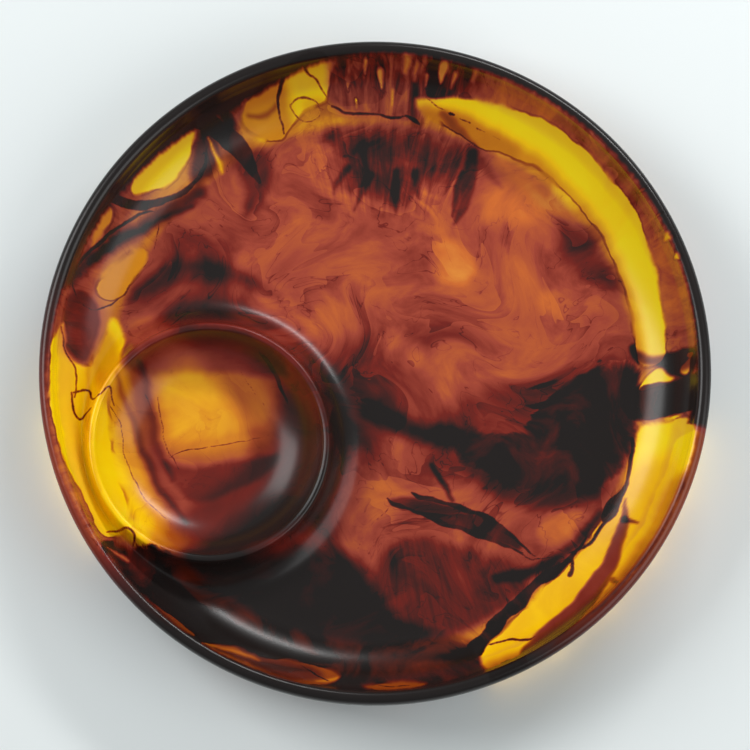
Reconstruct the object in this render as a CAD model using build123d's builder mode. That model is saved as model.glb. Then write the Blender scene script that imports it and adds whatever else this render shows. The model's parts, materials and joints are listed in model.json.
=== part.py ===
from build123d import *
import os

# A round serving platter with one dip well, cast in a mould from several pours of tinted resin.
# The pours cured against each other, so the nodes meet face to face and share no volume.
# The frame: origin at the middle of the flat base, +Z up, +Y towards the far rim, and the
# dip well on the -X, -Y side. All sizes are in millimetres and all angles in degrees,
# counted from +X towards +Y.

# Driving dimensions of the platter.
RIM_RADIUS = 175.0  # outermost radius, at the lip
HEIGHT = 44.0  # base to the top of the lip
BASE_RADIUS = 139.0  # edge of the flat base
FLOOR_TOP = 7.0  # thickness of the platter's floor
COVE_RADIUS = 40.0  # hollow curve from the floor up to the lip
LIP_ROUND = 3.5  # round of the lip

# Driving dimensions of the dip well.
WELL_X, WELL_Y = -86.5, -35.0
WELL_FLOOR_TOP = 6.5
WELL_COVE_RADIUS = 34.0
CREST_RADIUS = 61.5  # middle of the well's crest
CREST_TOP = 30.0
CREST_ROUND = 2.0
FLANK_RADIUS = 22.0  # hollow curve from the crest down to the platter's floor
FOOT_SUNK = 1.0  # height where the well's ring starts, sunk in the platter's floor

# Where one ring of pours ends and the next begins.
FLOOR_EDGE = 138.0  # radius, floor to wall
BAND_EDGE = 166.0  # radius, wall to rim band
WELL_FLOOR_EDGE = 40.0  # radius about the well's axis, its floor to its wall
WELL_EDGE = 66.0  # radius about the well's axis, just outside the crest
HALO_EDGE = 92.0  # radius about the well's axis, the dark pour round its foot

# The pours of each ring, by the angle where each starts and ends.
RIM_BAND_POURS = {
    "black_rim_band": (-10, 192),
    "red_rim_band": (192, 236),
    "black_front_rim_band": (236, 290),
    "brown_rim_band": (290, 350),
}
WALL_POURS = {
    "black_tongue": (-17, -3),
    "amber_right_wall": (-3, 76),
    "red_fringe_wall": (76, 118),
    "amber_window": (118, 138),
    "streaked_wall": (138, 164),
    "amber_left_wall": (164, 222),
    "black_front_wall": (222, 288),
    "amber_front_right_wall": (288, 343),
}
WELL_WALL_POURS = {
    "amber_well_wall": (140, 262),
    "dark_well_wall": (262, 500),
}

# Outline of the black streak across the platter's floor, and of the dark front of the floor.
STREAK = [
    (150, -3), (128, 4), (104, -4), (78, -8), (52, -16), (22, -20),
    (24, -34), (54, -42), (84, -50), (112, -56), (132, -46), (150, -42),
]
DARK_FRONT = [
    (-150, -84), (-96, -96), (-40, -104), (0, -96), (34, -106),
    (52, -128), (60, -170), (-60, -190), (-150, -150),
]

SKY = 80.0  # height that clears everything, for the cutting tools
FAR = 260.0  # reach that clears everything, for the cutting tools
WEDGE_STEP = 40.0  # about the widest angle between two corners of a wedge


def touch(first, first_round, second, second_round):
    """The point where two circles meet, given their centres and radii."""
    gap = Vector(*second) - Vector(*first)
    return Vector(*first) + gap * (first_round / (first_round + second_round))


def beside(mate, span, height, side):
    """The centre at a height, span away from mate, towards the axis (-1) or away (1)."""
    run = (span**2 - (height - mate[1]) ** 2) ** 0.5
    return (mate[0] + side * run, height)


def arc(centre, radius, start, end):
    """Adds the short arc about a centre to the line in hand."""
    across = (Vector(*start) + Vector(*end)) * 0.5 - Vector(*centre)
    ThreePointArc(start, Vector(*centre) + across.normalized() * radius, end)


# Centres and meeting points of the platter's section, as (radius, height).
LIP = (RIM_RADIUS - LIP_ROUND, HEIGHT - LIP_ROUND)
LIP_SIDE = (RIM_RADIUS, LIP[1])
COVE = beside(LIP, COVE_RADIUS + LIP_ROUND, FLOOR_TOP + COVE_RADIUS, -1)
COVE_END = touch(COVE, COVE_RADIUS, LIP, LIP_ROUND)
FLARE = RIM_RADIUS - BASE_RADIUS
OUTER_RADIUS = (FLARE**2 + LIP[1] ** 2) / (2 * FLARE)
OUTER = (RIM_RADIUS - OUTER_RADIUS, LIP[1])

# The same for the dip well, measured from its own axis.
CREST = (CREST_RADIUS, CREST_TOP - CREST_ROUND)
WELL_COVE = beside(CREST, WELL_COVE_RADIUS + CREST_ROUND, WELL_FLOOR_TOP + WELL_COVE_RADIUS, -1)
WELL_COVE_END = touch(WELL_COVE, WELL_COVE_RADIUS, CREST, CREST_ROUND)
FLANK = beside(CREST, FLANK_RADIUS + CREST_ROUND, FLOOR_TOP + FLANK_RADIUS, 1)
FLANK_START = touch(FLANK, FLANK_RADIUS, CREST, CREST_ROUND)
WELL_AXIS = Axis((WELL_X, WELL_Y, 0), (0, 0, 1))
WELL_PLANE = Plane.XZ.offset(-WELL_Y).shift_origin((WELL_X, WELL_Y, 0))


# The platter without its well: a disc with a hollow wall and a rounded lip.
with BuildPart() as platter:
    with BuildSketch(Plane.XZ):
        with BuildLine():
            Line((0, 0), (BASE_RADIUS, 0))
            arc(OUTER, OUTER_RADIUS, (BASE_RADIUS, 0), LIP_SIDE)
            ThreePointArc(LIP_SIDE, (LIP[0], HEIGHT), COVE_END)
            arc(COVE, COVE_RADIUS, COVE_END, (COVE[0], FLOOR_TOP))
            Line((COVE[0], FLOOR_TOP), (0, FLOOR_TOP))
            Line((0, FLOOR_TOP), (0, 0))
        make_face()
    revolve(axis=Axis.Z)

# The platter's outer shape filled to the lip, which trims the well's foot.
with BuildPart() as envelope:
    with BuildSketch(Plane.XZ):
        with BuildLine():
            Line((0, 0), (BASE_RADIUS, 0))
            arc(OUTER, OUTER_RADIUS, (BASE_RADIUS, 0), LIP_SIDE)
            Line(LIP_SIDE, (0, LIP[1]))
            Line((0, LIP[1]), (0, 0))
        make_face()
    revolve(axis=Axis.Z)

# The ring that stands round the dip well, with its foot sunk in the platter's floor.
with BuildPart() as well_ring:
    with BuildSketch(WELL_PLANE):
        with BuildLine():
            Line((WELL_COVE[0], FOOT_SUNK), (WELL_COVE[0], WELL_FLOOR_TOP))
            arc(WELL_COVE, WELL_COVE_RADIUS, (WELL_COVE[0], WELL_FLOOR_TOP), WELL_COVE_END)
            ThreePointArc(WELL_COVE_END, (CREST_RADIUS, CREST_TOP), FLANK_START)
            arc(FLANK, FLANK_RADIUS, FLANK_START, (FLANK[0], FLOOR_TOP))
            Line((FLANK[0], FLOOR_TOP), (FLANK[0], FOOT_SUNK))
            Line((FLANK[0], FOOT_SUNK), (WELL_COVE[0], FOOT_SUNK))
        make_face()
    revolve(axis=WELL_AXIS)
    add(envelope.part, mode=Mode.INTERSECT)

# The room inside the dip well.
with BuildPart() as well_room:
    with BuildSketch(WELL_PLANE):
        with BuildLine():
            Line((0, WELL_FLOOR_TOP), (WELL_COVE[0], WELL_FLOOR_TOP))
            arc(WELL_COVE, WELL_COVE_RADIUS, (WELL_COVE[0], WELL_FLOOR_TOP), WELL_COVE_END)
            Line(WELL_COVE_END, (WELL_COVE_END.X, SKY))
            Line((WELL_COVE_END.X, SKY), (0, SKY))
            Line((0, SKY), (0, WELL_FLOOR_TOP))
        make_face()
    revolve(axis=WELL_AXIS)

# The whole casting, before it is parted into its pours.
with BuildPart() as casting:
    add(platter.part)
    add(well_ring.part)
    add(well_room.part, mode=Mode.SUBTRACT)


def disc(radius, centre=(0, 0)):
    """A tall round cutting tool."""
    with BuildPart() as tool:
        with BuildSketch(Plane.XY.offset(-SKY)):
            with Locations(centre):
                Circle(radius)
        extrude(amount=2 * SKY)
    return tool.part


def wedge(start, end, centre=(0, 0)):
    """A tall cutting tool that spans the angles from start to end about a centre."""
    steps = max(2, round((end - start) / WEDGE_STEP))
    turns = [start + (end - start) * step / steps for step in range(steps + 1)]
    with BuildPart() as tool:
        with BuildSketch(Plane.XY.offset(-SKY)):
            with Locations(centre):
                Polygon((0, 0), *[Vector(FAR, 0).rotate(Axis.Z, turn) for turn in turns], align=None)
        extrude(amount=2 * SKY)
    return tool.part


def patch(outline):
    """A tall cutting tool with a smooth closed outline."""
    with BuildPart() as tool:
        with BuildSketch(Plane.XY.offset(-SKY)):
            with BuildLine():
                Spline(*outline, periodic=True)
            make_face()
        extrude(amount=2 * SKY)
    return tool.part


def keep(body, *tools):
    """The part of a body that lies inside every tool."""
    with BuildPart() as kept:
        add(body)
        for tool in tools:
            add(tool, mode=Mode.INTERSECT)
    return kept.part


def less(body, *tools):
    """The part of a body that lies outside every tool."""
    with BuildPart() as left:
        add(body)
        for tool in tools:
            add(tool, mode=Mode.SUBTRACT)
    return left.part


def save(name, body):
    """Writes one pour as its own node."""
    body.label = name
    export_step(body, f"parts/{name}.step")


os.makedirs("parts", exist_ok=True)
WELL = (WELL_X, WELL_Y)
inner = keep(casting.part, disc(BAND_EDGE))
dish = less(inner, disc(WELL_EDGE, WELL))

# The rim band: the outermost ring, from the outer wall up over the lip.
rim_ring = less(casting.part, disc(BAND_EDGE))
for name, (start, end) in RIM_BAND_POURS.items():
    save(name, keep(rim_ring, wedge(start, end)))

# The platter's wall: the ring between its floor and its rim band, outside the well.
wall_ring = less(dish, disc(FLOOR_EDGE))
for name, (start, end) in WALL_POURS.items():
    save(name, keep(wall_ring, wedge(start, end)))

# The dip well: its floor, and its wall with the crest.
save("amber_well_floor", keep(inner, disc(WELL_FLOOR_EDGE, WELL)))
well_wall_ring = less(keep(inner, disc(WELL_EDGE, WELL)), disc(WELL_FLOOR_EDGE, WELL))
for name, (start, end) in WELL_WALL_POURS.items():
    save(name, keep(well_wall_ring, wedge(start, end, WELL)))

# The platter's floor: dark pours round the well, across the floor and at the front.
floor = keep(dish, disc(FLOOR_EDGE))
save("dark_well_foot", keep(floor, disc(HALO_EDGE, WELL)))
open_floor = less(floor, disc(HALO_EDGE, WELL))
save("black_floor_streak", keep(open_floor, patch(STREAK)))
save("dark_front_floor", keep(open_floor, patch(DARK_FRONT)))
save("amber_floor", less(open_floor, patch(STREAK), patch(DARK_FRONT)))
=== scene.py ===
"""A round serving platter with a dip well, cast in tortoiseshell resin, on a pale table.

The casting is one continuous surface: the dip well, the dish, the lip, the outer wall and the
base. It is worked out once on a grid and then parted into the pours of tinted resin that it is
made of. All lengths in this file are in millimetres until a mesh is made, and all angles are in
degrees, counted from +X towards +Y. The platter stands on its base at z = 0.
"""

import json
import logging
import math
from dataclasses import dataclass, field
from enum import Enum
from functools import partial, partialmethod
from typing import ClassVar

import bpy
import numpy as np
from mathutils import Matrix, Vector

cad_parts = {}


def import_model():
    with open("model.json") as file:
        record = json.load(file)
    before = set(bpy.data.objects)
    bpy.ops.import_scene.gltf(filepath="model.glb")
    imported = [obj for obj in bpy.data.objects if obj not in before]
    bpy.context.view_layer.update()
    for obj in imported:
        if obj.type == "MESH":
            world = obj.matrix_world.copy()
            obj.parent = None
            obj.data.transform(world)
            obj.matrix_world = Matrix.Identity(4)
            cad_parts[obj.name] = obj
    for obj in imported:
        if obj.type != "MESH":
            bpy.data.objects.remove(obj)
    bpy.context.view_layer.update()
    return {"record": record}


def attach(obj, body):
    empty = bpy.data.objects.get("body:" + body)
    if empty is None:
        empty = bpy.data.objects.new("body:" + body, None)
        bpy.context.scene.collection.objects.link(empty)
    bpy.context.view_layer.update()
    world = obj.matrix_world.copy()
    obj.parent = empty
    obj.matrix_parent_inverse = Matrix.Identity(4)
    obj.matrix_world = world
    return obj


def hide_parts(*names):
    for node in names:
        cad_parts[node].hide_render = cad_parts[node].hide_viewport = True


LOG = logging.getLogger("platter")
MM = 0.001

Points = list[tuple[float, ...]]


# --- Noise and outlines ---------------------------------------------------------------------


class Noise:
    """Seeded gradient noise in the plane, about -1 to 1."""

    CELLS = 256  # gradients in the table
    GAIN = 1.5  # brings the blend of four corners to about -1 to 1

    def __init__(self, seed: int) -> None:
        """Draws the table of gradients.

        Args:
            seed: starts the random draw, so that the noise is the same in each run.
        """
        rng = np.random.default_rng(seed)
        self.order = np.concatenate([rng.permutation(self.CELLS)] * 2)
        turn = rng.uniform(0, 2 * math.pi, self.CELLS)
        self.gradient = np.stack([np.cos(turn), np.sin(turn)], axis=1)

    def _corner(self, i: np.ndarray, j: np.ndarray, u: np.ndarray, v: np.ndarray) -> np.ndarray:
        """The dot product of a corner's gradient with the way from that corner."""
        pick = self.order[(self.order[i % self.CELLS] + j) % self.CELLS]
        return self.gradient[pick, 0] * u + self.gradient[pick, 1] * v

    def at(self, x: np.ndarray, y: np.ndarray, size: float) -> np.ndarray:
        """The noise at places in the plane: four corner values, blended by a quintic curve.

        Args:
            x: places along X.
            y: places along Y.
            size: width of one lump of the noise.

        Returns:
            One value for each place.
        """
        x, y = x / size, y / size
        i, j = np.floor(x).astype(int), np.floor(y).astype(int)
        u, v = x - i, y - j
        s, t = (w**3 * (w * (w * 6 - 15) + 10) for w in (u, v))
        low = (1 - s) * self._corner(i, j, u, v) + s * self._corner(i + 1, j, u - 1, v)
        high = (1 - s) * self._corner(i, j + 1, u, v - 1)
        high += s * self._corner(i + 1, j + 1, u - 1, v - 1)
        return self.GAIN * ((1 - t) * low + t * high)

    def stir(self, x: np.ndarray, y: np.ndarray, size: float, reach: float, steps: int) -> tuple:
        """Carries places along the eddies of the noise, as a stick stirs dye.

        Each step moves a place at a right angle to the noise's slope there, so the flow turns
        round each lump and nothing is squeezed.

        Args:
            x: places along X.
            y: places along Y.
            size: width of an eddy.
            reach: about how far a place is carried in all.
            steps: how many short moves make up the way.

        Returns:
            The places where the flow came from, along X and along Y.
        """
        pinch = 0.02 * size
        push = reach * size**2 / steps
        for _ in range(steps):
            here = self.at(x, y, size)
            slope_x = (self.at(x + pinch, y, size) - here) / pinch
            slope_y = (self.at(x, y + pinch, size) - here) / pinch
            x, y = x + push * slope_y, y - push * slope_x
        return x, y


def smooth(low: float, high: float, value: np.ndarray) -> np.ndarray:
    """Rises from 0 at low to 1 at high along a smooth curve, 3t squared minus 2t cubed."""
    t = np.clip((value - low) / (high - low), 0, 1)
    return t * t * (3 - 2 * t)


def rounded(points: list[tuple], closed: bool) -> list[tuple]:
    """Rounds the corners of an outline or a path by cutting each corner off twice.

    Args:
        points: the corners in order, each with two or more numbers.
        closed: whether the last point joins the first.

    Returns:
        The rounded outline or path.
    """
    line = np.array(points, dtype=float)
    for _ in range(2):
        ahead = np.roll(line, -1, axis=0) if closed else line[1:]
        here = line if closed else line[:-1]
        pairs = np.stack([0.75 * here + 0.25 * ahead, 0.25 * here + 0.75 * ahead], axis=1)
        cut = pairs.reshape(-1, line.shape[1])
        line = cut if closed else np.concatenate([line[:1], cut, line[-1:]])
    return [tuple(point) for point in line.tolist()]


def edge_distance(start: tuple, end: tuple, x: np.ndarray, y: np.ndarray) -> tuple:
    """How far each place lies from a straight edge.

    Args:
        start: the edge's first point, as (x, y) or more.
        end: its last point.
        x: places along X.
        y: places along Y.

    Returns:
        The distance, and the share of the edge's length at which its nearest point lies.
    """
    run_x, run_y = end[0] - start[0], end[1] - start[1]
    length = max(run_x * run_x + run_y * run_y, 1e-9)
    along = np.clip(((x - start[0]) * run_x + (y - start[1]) * run_y) / length, 0, 1)
    return np.hypot(x - start[0] - along * run_x, y - start[1] - along * run_y), along


def depth_inside(outline: Points, x: np.ndarray, y: np.ndarray) -> np.ndarray:
    """How deep each place lies inside a closed outline.

    The depth is the distance to the nearest edge. A place is inside where a ray from it crosses
    the outline an odd number of times.

    Args:
        outline: the corners in order.
        x: places along X.
        y: places along Y.

    Returns:
        The depth, below zero outside.
    """
    nearest = np.full(x.shape, np.inf)
    inside = np.zeros(x.shape, bool)
    for start, end in zip(outline, outline[1:] + outline[:1]):
        nearest = np.minimum(nearest, edge_distance(start, end, x, y)[0])
        if start[1] != end[1]:
            slant = (end[0] - start[0]) / (end[1] - start[1])
            inside ^= ((start[1] > y) != (end[1] > y)) & (x < start[0] + (y - start[1]) * slant)
    return np.where(inside, nearest, -nearest)


def depth_in_thread(path: Points, x: np.ndarray, y: np.ndarray) -> np.ndarray:
    """How deep each place lies inside a thread that follows a path.

    Args:
        path: the thread's points as (x, y, half its width there).
        x: places along X.
        y: places along Y.

    Returns:
        The depth, below zero outside.
    """
    depth = np.full(x.shape, -np.inf)
    for start, end in zip(path, path[1:]):
        distance, along = edge_distance(start, end, x, y)
        depth = np.maximum(depth, start[2] + (end[2] - start[2]) * along - distance)
    return depth


# --- The casting's shape --------------------------------------------------------------------


@dataclass
class PlatterForm:
    """The section of the platter: a hollow wall that rises from a flat floor to a round lip.

    Attributes:
        rim: outermost radius.
        height: base to the top of the lip.
        base: radius of the flat base.
        floor: height of the floor's top.
        cove: radius of the hollow curve.
        lip: radius of the lip's round.
    """

    rim: float = 175.0
    height: float = 44.0
    base: float = 139.0
    floor: float = 7.0
    cove: float = 40.0
    lip: float = 3.5

    def __post_init__(self) -> None:
        """Finds the centres of the curves and where they meet."""
        self.lip_at = (self.rim - self.lip, self.height - self.lip)
        rise = self.floor + self.cove - self.lip_at[1]
        run = math.sqrt((self.cove + self.lip) ** 2 - rise**2)
        self.cove_at = (self.lip_at[0] - run, self.floor + self.cove)
        share = self.cove / (self.cove + self.lip)
        self.cove_end = self.cove_at[0] + run * share
        flare = self.rim - self.base
        self.outer = (flare**2 + self.lip_at[1] ** 2) / (2 * flare)

    def top(self, r: np.ndarray) -> np.ndarray:
        """Height of the floor and the cove: flat, then a quarter circle that opens upwards."""
        run = np.clip(r - self.cove_at[0], 0, self.cove_end - self.cove_at[0])
        return self.cove_at[1] - np.sqrt(self.cove**2 - run**2)

    def edge(self, start: float, rows: int) -> tuple[np.ndarray, np.ndarray]:
        """The section from the cove over the lip and down the outer wall to the base.

        Three arcs in a row: the last of the cove, the round of the lip, and the outer wall.

        Args:
            start: radius where the section starts, on the cove.
            rows: how many points it has.

        Returns:
            The radius and the height of each point, from the cove to the base.
        """
        cove_from = math.asin((start - self.cove_at[0]) / self.cove)
        cove_to = math.asin((self.cove_end - self.cove_at[0]) / self.cove)
        wall_x = self.rim - self.outer
        wall_to = math.asin(self.lip_at[1] / self.outer)
        lengths = np.array(
            [self.cove * (cove_to - cove_from), self.lip * (math.pi / 2 + cove_to), self.outer * wall_to]
        )
        ends = np.concatenate([[0], np.cumsum(lengths)])
        way = np.linspace(0, ends[-1], rows)
        on_cove = cove_from + np.clip(way, 0, ends[1]) / self.cove
        on_lip = math.pi / 2 + cove_to - np.clip(way - ends[1], 0, lengths[1]) / self.lip
        on_wall = np.clip(way - ends[2], 0, lengths[2]) / self.outer
        cove_r = self.cove_at[0] + self.cove * np.sin(on_cove)
        cove_z = self.cove_at[1] - self.cove * np.cos(on_cove)
        lip_r = self.lip_at[0] + self.lip * np.cos(on_lip)
        lip_z = self.lip_at[1] + self.lip * np.sin(on_lip)
        wall_r = wall_x + self.outer * np.cos(on_wall)
        wall_z = self.lip_at[1] - self.outer * np.sin(on_wall)
        pick = [way <= ends[1], way <= ends[2]]
        return np.select(pick, [cove_r, lip_r], wall_r), np.select(pick, [cove_z, lip_z], wall_z)


@dataclass
class WellForm:
    """The section of the dip well, measured from its own axis.

    Attributes:
        x: the axis along X.
        y: the axis along Y.
        floor: height of the well's floor.
        cove: radius of the hollow curve inside.
        crest: radius of the middle of the crest.
        top: height of the crest.
        crest_round: radius of the crest's round.
        flank: radius of the hollow curve outside, down to the platter's floor.
        valley: how widely the flank blends into the platter's wall.
    """

    x: float = -86.5
    y: float = -35.0
    floor: float = 6.5
    cove: float = 34.0
    crest: float = 61.5
    top: float = 30.0
    crest_round: float = 2.0
    flank: float = 22.0
    valley: float = 2.0

    def __post_init__(self) -> None:
        """Finds the centres of the curves and where they meet."""
        height = self.top - self.crest_round
        span = self.cove + self.crest_round
        self.cove_x = self.crest - math.sqrt(span**2 - (self.floor + self.cove - height) ** 2)
        self.inner_end = self.cove_x + (self.crest - self.cove_x) * self.cove / span

    def inside(self, rho: np.ndarray) -> np.ndarray:
        """Height inside the well: flat, then a circle that opens upwards, to the crest."""
        run = np.clip(rho - self.cove_x, 0, self.inner_end - self.cove_x)
        return self.floor + self.cove - np.sqrt(self.cove**2 - run**2)

    def outside(self, rho: np.ndarray, floor: float) -> np.ndarray:
        """Height of the crest and the flank: a small round, then a hollow curve to the floor.

        Args:
            rho: distance from the well's axis.
            floor: height of the platter's floor.

        Returns:
            The height, and the platter's floor beyond the flank.
        """
        height = self.top - self.crest_round
        span = self.flank + self.crest_round
        flank_x = self.crest + math.sqrt(span**2 - (floor + self.flank - height) ** 2)
        start = flank_x - (flank_x - self.crest) * self.flank / span
        over = np.clip(rho - self.crest, -self.crest_round, self.crest_round)
        crown = height + np.sqrt(self.crest_round**2 - over**2)
        run = np.clip(flank_x - rho, 0, flank_x - start)
        slope = floor + self.flank - np.sqrt(self.flank**2 - run**2)
        return np.where(rho < start, crown, slope)


@dataclass
class CastingGrid:
    """The whole surface of the casting on one grid, closed at the two poles.

    Each column runs from the middle of the well along a straight line to the wall, over the lip
    at a fixed angle, down the outer wall and back to the middle of the base.

    Attributes:
        platter: the platter's section.
        well: the well's section.
        columns: how many columns go round.
        well_edge: distance from the well's axis where the well's rows end.
        wall_edge: radius where the straight lines end.
        rows: rows in the well, the dish, the edge and the base.
    """

    platter: PlatterForm
    well: WellForm
    columns: int = 1100
    well_edge: float = 66.0
    wall_edge: float = 166.0
    rows: tuple[int, int, int, int] = (92, 176, 96, 50)

    def heights(self, x: np.ndarray, y: np.ndarray) -> np.ndarray:
        """Height of the well and the dish, with a soft valley between the flank and the wall.

        The soft valley is half of the sum of the two heights and of the root of their squared
        difference plus the valley's width squared.
        """
        rho = np.hypot(x - self.well.x, y - self.well.y)
        dish = self.platter.top(np.hypot(x, y))
        flank = self.well.outside(rho, self.platter.floor)
        gap = np.hypot(flank - dish, self.well.valley) - self.well.valley
        ground = (flank + dish + gap) / 2
        return np.where(rho < self.well.inner_end, self.well.inside(rho), ground)

    def build(self) -> np.ndarray:
        """The surface's points, as rows by columns by three, in millimetres."""
        turn = np.linspace(0, 2 * math.pi, self.columns, endpoint=False)[None, :]
        end_x, end_y = self.wall_edge * np.cos(turn), self.wall_edge * np.sin(turn)
        reach = np.hypot(end_x - self.well.x, end_y - self.well.y)
        well_rows, dish_rows, edge_rows, base_rows = self.rows
        inner = np.linspace(0, self.well_edge, well_rows, endpoint=False)[:, None] / reach
        share = np.linspace(0, 1, dish_rows, endpoint=False)[:, None]
        outer = (self.well_edge + (reach - self.well_edge) * share) / reach
        along = np.concatenate([inner, outer])
        x = self.well.x + (end_x - self.well.x) * along
        y = self.well.y + (end_y - self.well.y) * along
        z = self.heights(x, y)
        edge_r, edge_z = self.platter.edge(self.wall_edge, edge_rows)
        base_r = np.linspace(self.platter.base, 0, base_rows + 1)[1:]
        ring_r = np.concatenate([edge_r, base_r])[:, None]
        ring_z = np.concatenate([edge_z, np.zeros(base_rows)])[:, None]
        heights = np.broadcast_to(ring_z, (len(ring_r), self.columns))
        ring = np.stack([ring_r * np.cos(turn), ring_r * np.sin(turn), heights], axis=2)
        return np.concatenate([np.stack([x, y, z], axis=2), ring])


# --- The dye ----------------------------------------------------------------------------------


class Layer(Enum):
    """How a pour of resin shows in the casting."""

    SMOKE = "smoke"  # a soft veil of dye, or with a negative weight a clearer patch
    WARMTH = "warmth"  # a soft patch of redder dye, or with a negative weight a yellower one
    DRIPS = "drips"  # streaks that run from the lip towards the middle
    CALM = "calm"  # how far the wisps die down
    TINT = "tint"  # a soft veil of dye inside clear resin
    UNDER = "under"  # a crisp dark pour that clear resin can cover
    CLEAR = "clear"  # a crisp pour of clear yellow resin
    OVER = "over"  # a crisp dark pour on top of the others


@dataclass(frozen=True)
class Pour:
    """One poured patch or thread of resin.

    Attributes:
        layer: how it shows.
        outline: a patch's corners in plan, or a thread's points as (x, y, half its width there).
        weight: how much dye a soft layer adds, from -1 to 1.
        blur: width of a soft layer's edge.
    """

    FAR: ClassVar[float] = 12.0

    layer: Layer
    outline: Points
    weight: float = 1.0
    blur: float = 8.0

    def depth(self, x: np.ndarray, y: np.ndarray) -> np.ndarray:
        """How deep each place lies inside the pour, below zero outside, down to -FAR."""
        thread = len(self.outline[0]) == 3
        measure = depth_in_thread if thread else depth_inside
        depth = np.full(x.shape, -self.FAR)
        corners = np.array(self.outline)[:, :2]
        low, high = corners.min(axis=0) - self.FAR, corners.max(axis=0) + self.FAR
        near = (x > low[0]) & (x < high[0]) & (y > low[1]) & (y < high[1])
        found = measure(rounded(self.outline, closed=not thread), x[near], y[near])
        depth[near] = np.maximum(found, -self.FAR)
        return depth


smoke, warmth, drips, calm, tint, under, clear, over = (partial(Pour, layer) for layer in Layer)


def polar(*corners: tuple[float, float]) -> Points:
    """An outline given by (angle, radius) about the platter's axis, with arcs between the corners."""
    step = 5.0
    places = []
    for (start, low), (end, high) in zip(corners, corners[1:] + corners[:1]):
        for share in np.arange(0, 1, step / max(abs(end - start), step)):
            turn, r = math.radians(start + (end - start) * share), low + (high - low) * share
            places.append((r * math.cos(turn), r * math.sin(turn)))
    return places


def sector(start: float, end: float, low: float, high: float) -> Points:
    """The outline of a part of a ring, given by its two angles and its two radii."""
    return polar((start, low), (start, high), (end, high), (end, low))


def bead(x: float, y: float, half: float, tail: float = 0.0) -> Pour:
    """A drop of clear resin with a tail towards the platter's middle.

    Args:
        x: the drop's place along X.
        y: the drop's place along Y.
        half: half its width.
        tail: length of its tail.

    Returns:
        The drop.
    """
    taper = 0.35
    inwards = 1 - tail / math.hypot(x, y)
    return clear([(x, y, half), (x * inwards, y * inwards, half * taper)])


RIGHT_WALL = [
    # The bright yellow crescent from the tongue to the top. It dims to orange towards the floor.
    clear(polar((3, 138), (3, 152), (8, 153.5), (15, 155.5), (22, 158.5), (30, 161.5), (40, 163), (50, 163.5),
                (58, 162.5), (65, 160), (70, 157.5), (76, 155), (82, 151), (81, 145), (74, 140), (66, 136),
                (60, 139.5), (54, 141.5), (44, 142), (34, 142), (26, 140.5), (18, 138.8), (8, 138))),
    tint(polar((6, 134), (6, 142), (20, 143), (36, 146), (50, 147.5), (64, 149), (78, 150), (84, 146),
               (78, 136), (64, 134), (30, 134)), 0.26, 9),
    tint([(134, 19), (148, 11), (164, 18), (170, 6), (156, 1), (148, 8), (134, 10)], 0.6, 4),
    tint(polar((58, 134), (58, 146), (78, 150), (84, 146), (78, 136)), 0.1, 8),
    tint([(36, 142, 2), (44, 132, 3), (52, 122, 4), (60, 112, 3)], 0.2, 4),
    smoke([(50, 124, 3), (60, 112, 2.4), (66, 104, 1)], 0.15, 4),
    over([(24, 152.5, 0.3), (32, 147, 0.35), (39, 142, 0.5)]),
    over([(39, 142, 1.1), (41, 141, 0.7)]),
    over([(44, 139.5, 0.5), (50, 137, 0.5)]),
    over([(54, 134.5, 0.6), (58, 133, 0.4)]),
    over([(62, 131, 0.4), (66, 128.5, 0.4)]),
    # Yellow between the two tongues, with its tip towards the floor.
    clear([(137, -4), (142, 3), (150, 8), (153, 3), (158, -1), (150, -2), (142, -4)]),
    over([(136, -1), (150, -1.5), (168, 0), (172, -21), (160, -18), (146, -21), (136, -20)]),
    smoke([(130, 0), (150, -1.5), (172, 1), (174, -21), (160, -17), (146, -20), (130, -21)], 0.6, 4),
    smoke([(134, 22), (152, 12), (166, 16), (168, 2), (156, 0), (149, 9), (134, 12)], 0.85, 4),
    clear([(150, -20.5), (157, -19), (163, -18.5), (156, -22.5)]),
    bead(164, 11, 2, 0),
    clear([(164, 9, 1), (162, 4, 3.2)]),
    bead(154, 71.5, 3, 3), bead(158.5, 61, 2.4, 2), bead(142.5, 97.5, 1.6, 5), bead(150.5, 84.5, 1.2, 4),
    bead(75.5, 156.5, 2.2, 0), bead(109, 136, 1.3, 2), bead(92, 149, 1.2, 2),
]

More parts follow.
